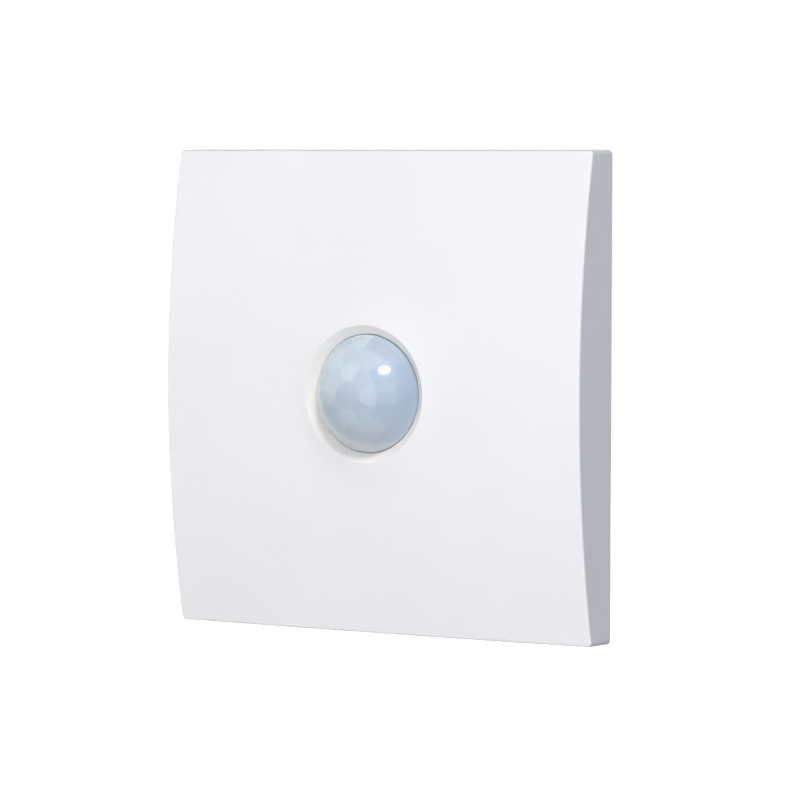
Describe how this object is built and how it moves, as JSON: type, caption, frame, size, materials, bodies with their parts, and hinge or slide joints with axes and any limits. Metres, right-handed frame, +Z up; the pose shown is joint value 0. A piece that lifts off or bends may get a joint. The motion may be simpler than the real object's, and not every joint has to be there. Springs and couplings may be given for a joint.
{
  "type": "motion sensor light switch",
  "caption": "Square white wall switch with a pale blue domed motion sensor lens in a bevelled opening, a clip-on crowned cover and a flush insert with screw terminals.",
  "frame": {"origin": "Middle of the pair of fixing slots, in the wall plane that the back rim of the cover and the back of the steel frame lie on.", "axes": "+Z up the wall, +Y into the wall, +X to the right of a person facing the lens, which faces -Y."},
  "size_m": [0.086, 0.0422, 0.086],
  "materials": {
    "cover_white": "smooth white moulded plastic",
    "lens_blue": "pale blue translucent plastic",
    "housing_white": "fine matt off-white moulded plastic",
    "spring_steel": "bright spring strip",
    "frame_steel": "zinc plated sheet steel",
    "board_green": "green lacquered circuit board",
    "screw_steel": "zinc plated steel",
    "sensor_steel": "nickel plated sensor can",
    "filter_dark": "dark infrared filter",
    "light_cell": "light cell in a clear coat",
    "led_red": "tinted indicator dome",
    "epoxy_black": "black moulded epoxy",
    "trimmer_blue": "blue moulded trimmer body",
    "knob_ivory": "ivory moulded knob",
    "relay_blue": "blue relay cover",
    "relay_iron": "soft iron, plated",
    "bobbin_ivory": "moulded bobbin",
    "winding_copper": "enamelled copper wire",
    "contact_brass": "brass strip",
    "film_yellow": "boxed film capacitor",
    "sleeve_blue": "shrink sleeve over an aluminium can",
    "varistor_blue": "lacquered ceramic disc",
    "resistor_green": "lacquered ceramic rod",
    "block_white": "off-white moulded terminal block",
    "cage_brass": "plated brass"
  },
  "bodies": {
    "insert": {"lens": "lens_blue", "lens_ring": "housing_white", "front_housing": "housing_white", "clip_springs": "spring_steel", "mounting_frame": "frame_steel", "sensor_board": "board_green", "sensor_board_screws": "screw_steel", "pir_spacer": "housing_white", "pir_base": "sensor_steel", "pir_can": "sensor_steel", "pir_window": "filter_dark", "light_sensor": "light_cell", "indicator_led": "led_red", "control_chip": "epoxy_black", "board_header": "epoxy_black", "time_trimmer": "trimmer_blue", "lux_trimmer": "trimmer_blue", "rear_housing": "housing_white", "housing_screws": "screw_steel", "power_board": "board_green", "power_board_screws": "screw_steel", "relay_base": "epoxy_black", "relay_cover": "relay_blue", "relay_yoke": "relay_iron", "relay_core": "relay_iron", "relay_bobbin": "bobbin_ivory", "relay_winding": "winding_copper", "relay_contact": "contact_brass", "film_capacitor": "film_yellow", "smoothing_capacitor": "sleeve_blue", "varistor": "varistor_blue", "rectifier": "epoxy_black", "fuse_resistor": "resistor_green", "driver_transistor": "epoxy_black", "terminal_block": "block_white", "terminal_tags": "contact_brass"},
    "cover": {"cover_plate": "cover_white"},
    "time_knob": {"time_knob": "knob_ivory"},
    "lux_knob": {"lux_knob": "knob_ivory"},
    "armature": {"relay_armature": "relay_iron"},
    "line_screw": {"line_screw": "screw_steel"},
    "line_cage": {"line_cage": "cage_brass"},
    "neutral_screw": {"neutral_screw": "screw_steel"},
    "neutral_cage": {"neutral_cage": "cage_brass"},
    "load_screw": {"load_screw": "screw_steel"},
    "load_cage": {"load_cage": "cage_brass"}
  },
  "joints": [
    {"name": "cover_pull", "type": "slide", "parent": "insert", "child": "cover", "axis": [0, -1, 0], "range_m": [0, 0.03]},
    {"name": "time_turn", "type": "hinge", "parent": "insert", "child": "time_knob", "pos_m": [-0.013, -0.005, -0.0176], "axis": [0, 1, 0], "range_deg": [-135, 135]},
    {"name": "lux_turn", "type": "hinge", "parent": "insert", "child": "lux_knob", "pos_m": [0.013, -0.005, -0.0176], "axis": [0, 1, 0], "range_deg": [-135, 135]},
    {"name": "armature_pull", "type": "hinge", "parent": "insert", "child": "armature", "pos_m": [-0.0201, 0.01636, 0.01395], "axis": [0, 0, -1], "range_deg": [0, 2.7], "stiffness_Nm_per_rad": 0.02},
    {"name": "line_clamp", "type": "slide", "parent": "insert", "child": "line_cage", "axis": [0, 1, 0], "range_m": [0, 0.0026]},
    {"name": "line_turn", "type": "hinge", "parent": "insert", "child": "line_screw", "pos_m": [-0.0084, 0.015, -0.0226], "axis": [0, -1, 0], "range_deg": [0, 1872]},
    {"name": "neutral_clamp", "type": "slide", "parent": "insert", "child": "neutral_cage", "axis": [0, 1, 0], "range_m": [0, 0.0026]},
    {"name": "neutral_turn", "type": "hinge", "parent": "insert", "child": "neutral_screw", "pos_m": [0, 0.015, -0.0226], "axis": [0, -1, 0], "range_deg": [0, 1872]},
    {"name": "load_clamp", "type": "slide", "parent": "insert", "child": "load_cage", "axis": [0, 1, 0], "range_m": [0, 0.0026]},
    {"name": "load_turn", "type": "hinge", "parent": "insert", "child": "load_screw", "pos_m": [0.0084, 0.015, -0.0226], "axis": [0, -1, 0], "range_deg": [0, 1872]}
  ],
  "couplings": [
    {"joint": "line_turn", "follows": "line_clamp", "rad_per_m": 12566},
    {"joint": "neutral_turn", "follows": "neutral_clamp", "rad_per_m": 12566},
    {"joint": "load_turn", "follows": "load_clamp", "rad_per_m": 12566}
  ]
}
